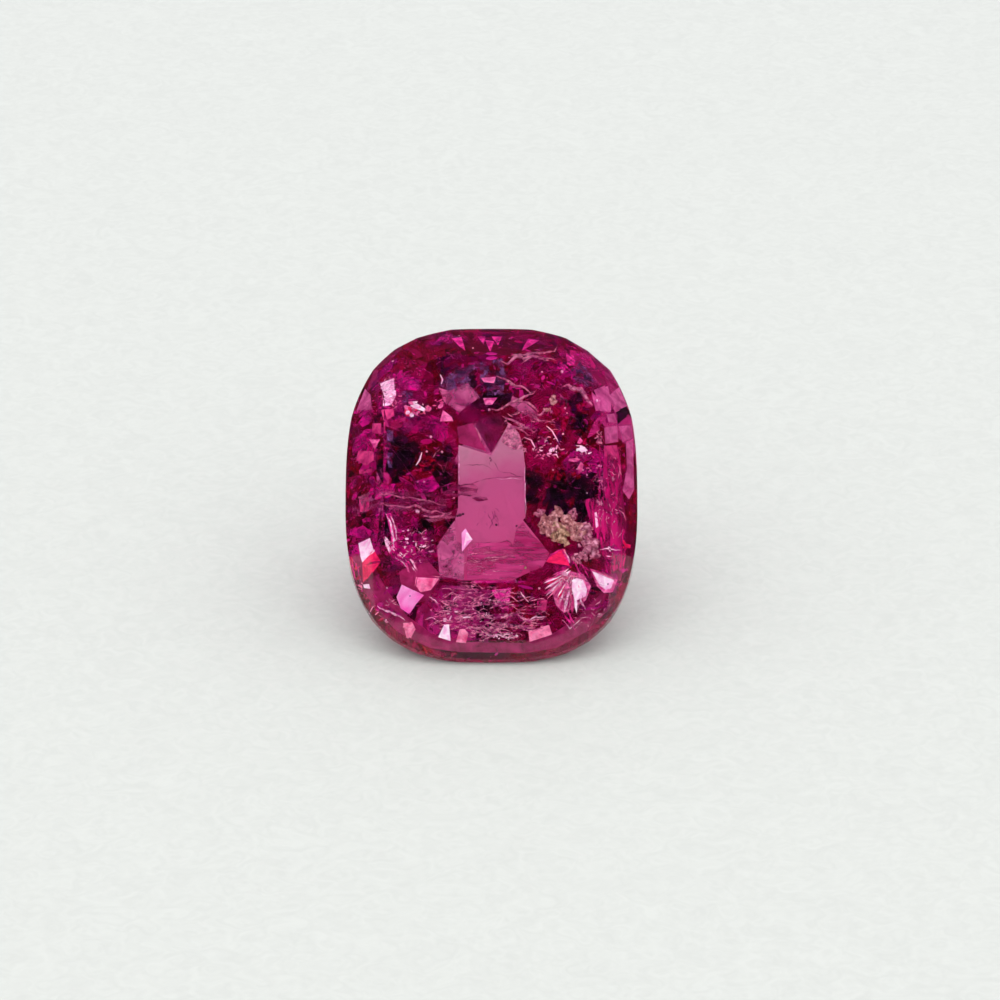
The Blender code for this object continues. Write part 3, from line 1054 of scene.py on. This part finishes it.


# Finishes of the inclusions, by name: colour stops, noise scale, and the least and most that shows.
# Some of these finishes paint light or shade, as marked below.
FINISHES = {
    # Some plates with this finish are painted highlights at the left edge.
    "white": sealed_finish(
        "white_fissure_and_highlight", [(0.36, (0.92, 0.48, 0.66)), (0.58, (1.0, 0.94, 0.88))], 5000.0, (0.93, 1.0)
    ),
    "salmon": sealed_finish(
        "salmon_fissure", [(0.36, (0.78, 0.08, 0.22)), (0.60, (1.0, 0.34, 0.48))], 6000.0, (0.80, 1.0)
    ),
    # Some plates with this finish are painted highlights at the left edge.
    "red": sealed_finish(
        "red_fissure_and_highlight", [(0.36, (0.66, 0.0, 0.07)), (0.60, (1.0, 0.02, 0.13))], 6000.0, (0.80, 1.0)
    ),
    "pink": sealed_finish(
        "pink_fissure", [(0.36, (0.66, 0.03, 0.22)), (0.62, (1.0, 0.26, 0.48))], 6000.0, (0.70, 1.0)
    ),
    "petal": sealed_finish(
        "petal_fissure", [(0.34, (0.86, 0.10, 0.42)), (0.62, (1.0, 0.52, 0.76))], 1800.0, (0.90, 1.0)
    ),
    "glow": sealed_finish(
        "glow_fissure", [(0.38, (0.26, 0.0, 0.11)), (0.62, (0.86, 0.01, 0.32))], 2600.0, (0.15, 0.70)
    ),
    # Some threads with this finish are painted highlights at the left edge.
    "hot": sealed_finish(
        "hot_fissure_and_highlight", [(0.38, (0.46, 0.0, 0.14)), (0.60, (0.90, 0.04, 0.32))], 6000.0, (0.5, 1.0)
    ),
    # Painted reflection, for pale pink facets near the edges.
    "dusty": sealed_finish(
        "dusty_painted_reflection", [(0.38, (0.40, 0.045, 0.16)), (0.60, (0.66, 0.125, 0.30))], 4000.0, (0.7, 0.95)
    ),
    # Some plates with this finish are painted reflection, in the flare below the clear middle.
    "mauve": sealed_finish(
        "mauve_fissure_and_reflection", [(0.38, (0.36, 0.04, 0.14)), (0.62, (0.66, 0.15, 0.30))], 3000.0, (0.30, 0.82)
    ),
    # Painted reflection, for the flare below the clear middle.
    "rose": sealed_finish(
        "rose_painted_reflection", [(0.38, (0.36, 0.012, 0.095)), (0.62, (0.66, 0.07, 0.24))], 3400.0, (0.10, 0.85),
        streak=(0.22, 1, 1),
    ),
    "smoke": sealed_finish(
        "smoke_fissure", [(0.40, (0.28, 0.015, 0.11)), (0.62, (0.58, 0.14, 0.25))], 4000.0, (0.0, 0.55),
        streak=(0.25, 1, 1), edges=(0.40, 0.70),
    ),
    "pane": window_glow_material,
    "shade": sealed_finish(
        "shade_fissure", [(0.38, (0.22, 0.0, 0.06)), (0.60, (0.40, 0.03, 0.12))], 4000.0, (0.05, 0.75),
        streak=(0.35, 1, 1), edges=(0.36, 0.64),
    ),
    "flush": sealed_finish(
        "flush_fissure", [(0.38, (0.38, 0.005, 0.10)), (0.60, (0.74, 0.06, 0.22))], 4000.0, (0.6, 0.95)
    ),
    "curtain": sealed_finish(
        "curtain_fissure", [(0.38, (0.24, 0.0, 0.06)), (0.62, (0.68, 0.008, 0.18))], 4200.0, (0.15, 0.80),
        streak=(1, 0.2, 0.2),
    ),
    "blush": sealed_finish(
        "blush_fissure", [(0.38, (0.74, 0.22, 0.42)), (0.58, (1.0, 0.70, 0.76))], 9000.0, (0.5, 1.0)
    ),
    "ember": sealed_finish(
        "ember_fissure", [(0.38, (0.26, 0.008, 0.07)), (0.62, (0.43, 0.022, 0.125))], 3000.0, (0.72, 0.94)
    ),
    # Painted shade, for the dark notch in the clear middle.
    "maroon": sealed_finish(
        "maroon_painted_shade", [(0.38, (0.10, 0.0, 0.03)), (0.62, (0.30, 0.0, 0.09))], 2600.0, (0.25, 0.75)
    ),
    # Painted reflection, dim and violet.
    "violet": sealed_finish(
        "violet_painted_reflection", [(0.38, (0.02, 0.003, 0.04)), (0.62, (0.17, 0.07, 0.18))], 4200.0, (0.05, 0.85),
        edges=(0.40, 0.62),
    ),
    # Painted shade, for the dark blots and plates.
    "dark": sealed_finish(
        "dark_painted_shade", [(0.38, (0.002, 0.0, 0.002)), (0.66, (0.05, 0.0, 0.035))], 5000.0, (0.25, 0.9)
    ),
    "feather": sealed_finish(
        "feather_fissure", [(0.38, (0.36, 0.06, 0.15)), (0.60, (0.70, 0.26, 0.34))], 8000.0, (0.4, 0.95)
    ),
    "ripple": sealed_finish(
        "ripple_fissure", [(0.40, (0.40, 0.03, 0.16)), (0.58, (0.96, 0.42, 0.52))], 8000.0, (0.3, 0.95)
    ),
    "vein": sealed_finish(
        "vein_fissure", [(0.40, (0.10, 0.0, 0.07)), (0.62, (0.50, 0.05, 0.25))], 6000.0, (0.2, 0.8)
    ),
}


# A burst of slivers below one point: its middle, the first turn, the last and the step in
# degrees, the length in pixels, and the finishes in turn.
FAN_MIDDLE = (573, 571)
FAN_TURNS = (198, 290, 5)
FAN_LENGTH = 39
FAN_FINISHES = ("flush", "white", "red", "blush", "flush", "blush", "salmon")


def fan_slivers(draw):
    """The slivers of the burst, as a finish, a share and corners."""
    first, last, step = FAN_TURNS
    x, y = FAN_MIDDLE
    for place, turn in enumerate(range(first, last, step)):
        middle = math.radians(turn + draw.uniform(-2, 2))
        half = math.radians(step * draw.uniform(0.25, 0.55))
        start, end = draw.uniform(2, 9), FAN_LENGTH * draw.uniform(0.75, 1.1)
        corners = []
        for reach, swing in ((start, 0), (end * 0.8, half), (end, 0), (end * 0.85, -half)):
            corners += [x + reach * math.cos(middle + swing), y - reach * math.sin(middle + swing)]
        yield FAN_FINISHES[place % len(FAN_FINISHES)], draw.uniform(0.022, 0.04), corners


def make_plates_and_threads():
    draw = random.Random(23)
    slivers = list(fan_slivers(draw))
    for finish in sorted(set(PLATES) | set(THREADS)):
        pile = Pile()
        for share, corners in PLATES.get(finish, ()):
            add_plate(pile, share, corners)
        for sliver_finish, share, corners in slivers:
            if sliver_finish == finish:
                add_plate(pile, share, corners)
        for thickness, share, course in THREADS.get(finish, ()):
            add_thread(pile, thickness, share, course, draw)
        bm = pile.shapes()
        bmesh.ops.recalc_face_normals(bm, faces=bm.faces)
        seal_in(bm, f"{finish}_fissures", FINISHES[finish]())


# The cluster of small host-rock crystals: middle x and y, half width and height in pixels, how
# many, and their size in mm. Then their shares of the way through, and their colours.
GRAIN_FIELDS = {
    "green": [
        (559, 531, 9, 7, 46, 0.076),
        (565, 541, 8, 4, 18, 0.064),
        (521, 567, 5, 2, 12, 0.026),
    ],
    "beige": [
        (549, 525, 9, 9, 60, 0.070),
        (557, 513, 5, 6, 30, 0.066),
        (568, 523, 7, 7, 34, 0.070),
        (578, 532, 7, 8, 40, 0.070),
        (553, 401, 2.5, 5, 18, 0.042),
        (547, 409, 4, 2, 12, 0.034),
    ],
    "rose": [
        (540, 513, 6, 3, 16, 0.046),
        (573, 513, 3, 5, 14, 0.050),
        (586, 534, 6, 10, 44, 0.062),
        (588, 545, 9, 6, 34, 0.058),
        (594, 552, 5, 7, 22, 0.050),
        (580, 557, 8, 5, 18, 0.046),
    ],
}
GRAIN_SHARES = (0.04, 0.09)
GRAIN_COLORS = {
    "green": [(0.36, (0.24, 0.13, 0.07)), (0.64, (0.78, 0.60, 0.36)), (0.50, (0.44, 0.29, 0.14))],
    "beige": [(0.36, (0.26, 0.08, 0.08)), (0.64, (0.84, 0.54, 0.45)), (0.50, (0.50, 0.21, 0.17))],
    "rose": [(0.36, (0.26, 0.05, 0.10)), (0.64, (0.78, 0.42, 0.46)), (0.50, (0.48, 0.15, 0.20))],
}


def make_grains():
    draw = random.Random(29)
    for tint, fields in GRAIN_FIELDS.items():
        pile = Pile()
        for x, y, half_width, half_height, count, size in fields:
            for _ in range(count):
                at_x, at_y = random_spot(draw, x, y, half_width, half_height)
                place = SIGHT.point(at_x, at_y, draw.uniform(*GRAIN_SHARES))
                shape = [size * draw.uniform(0.35, 1.3) * MM for _ in range(3)]
                bmesh.ops.create_cone(
                    pile.open(), cap_ends=True, segments=6, radius1=1, radius2=0.5, depth=1.6,
                    matrix=Matrix.Translation(place) @ random_turn(draw) @ Matrix.Diagonal((*shape, 1)),
                )
        seal_in(pile.shapes(), f"{tint}_host_crystals", grain_material(tint))


def grain_material(tint):
    material, maker = new_material(f"{tint}_host_crystal")
    spot = maker.add("TexCoord", out="Object")
    tone = maker.add("TexNoise", Vector=spot, Scale=11000.0, Detail=4.0)
    color = color_ramp(maker, tone, *GRAIN_COLORS[tint])
    surface = maker.add("BsdfPrincipled", Base_Color=color, Roughness=0.5, Specular_IOR_Level=0.3)
    maker.add("OutputMaterial", Surface=surface)
    return material


# Small bright bubbles and dark specks: x, y, the share of the way through and the size in mm.
BUBBLES = [
    (453.3, 492, 0.06, 0.030), (453.9, 498, 0.06, 0.026), (465.8, 498.6, 0.06, 0.026),
    (462, 493, 0.06, 0.018), (470, 493, 0.06, 0.018), (417.5, 511.4, 0.06, 0.045),
    (417.5, 481.8, 0.06, 0.026), (424, 481.8, 0.06, 0.022), (431, 436.8, 0.06, 0.032),
    (442, 452, 0.06, 0.028), (426.8, 451.5, 0.06, 0.024), (489.3, 409.7, 0.05, 0.036),
    (539.2, 588.4, 0.05, 0.028), (542, 372, 0.05, 0.024), (562, 371.5, 0.05, 0.030),
    (597, 400.5, 0.05, 0.030), (553, 470, 0.06, 0.024), (599, 466, 0.05, 0.024),
    (565, 408, 0.06, 0.026), (567, 413, 0.06, 0.020), (563, 434, 0.06, 0.026),
    (393, 361, 0.05, 0.030), (473, 348, 0.05, 0.022), (587, 493, 0.06, 0.020),
    (577, 469, 0.06, 0.022), (583, 470, 0.06, 0.022), (587, 475, 0.06, 0.018),
    (431, 610, 0.05, 0.024), (387, 588, 0.05, 0.022), (386, 620, 0.05, 0.020),
]
SPECKS = [
    (460, 515, 0.05, 0.045), (457.5, 516, 0.05, 0.030), (463, 514, 0.05, 0.030),
    (496.4, 525, 0.05, 0.035), (516.5, 526, 0.05, 0.035), (524, 548, 0.05, 0.025),
    (498, 521, 0.05, 0.018), (490, 458, 0.04, 0.020), (491, 461, 0.04, 0.015),
    (410, 596, 0.03, 0.018), (608, 584, 0.03, 0.018),
]


def make_beads(name, beads, material, seed):
    draw = random.Random(seed)
    pile = Pile()
    for x, y, share, size in beads:
        shape = [size * draw.uniform(0.7, 1.1) * MM for _ in range(3)]
        place = Matrix.Translation(SIGHT.point(x, y, share))
        bmesh.ops.create_icosphere(
            pile.open(), subdivisions=2, radius=1,
            matrix=place @ random_turn(draw) @ Matrix.Diagonal((*shape, 1)),
        )
    seal_in(pile.shapes(), name, material, smooth=True)


def speck_material():
    material, maker = new_material("dark_speck")
    spot = maker.add("TexCoord", out="Object")
    tone = maker.add("TexNoise", Vector=spot, Scale=9000.0, Detail=2.0)
    color = color_ramp(maker, tone, (0.4, (0.01, 0.0, 0.005)), (0.7, (0.12, 0.02, 0.05)))
    surface = maker.add("BsdfPrincipled", Base_Color=color, Roughness=0.5, Specular_IOR_Level=0.2)
    maker.add("OutputMaterial", Surface=surface)
    return material


make_camera()
make_sky()
make_floor()
set_light_paths()
make_crystal()
SIGHT = Sight()
make_flakes("fissure_flakes", flake_material(), FLAKE_FIELDS, seed=3)
make_flakes("fissure_glints", glint_material(), FLAKE_FIELDS, seed=5, share=0.28, scale=0.6)
make_flakes("soft_glows", FINISHES["glow"](), GLOW_FIELDS, seed=19)
make_flakes("painted_shade_blots", FINISHES["dark"](), SHADE_BLOT_FIELDS, seed=13)
make_veils()
make_plates_and_threads()
make_ripples()
make_sparks()
make_grains()
make_beads("pale_bubbles", BUBBLES, FINISHES["blush"](), seed=31)
make_beads("dark_specks", SPECKS, speck_material(), seed=37)
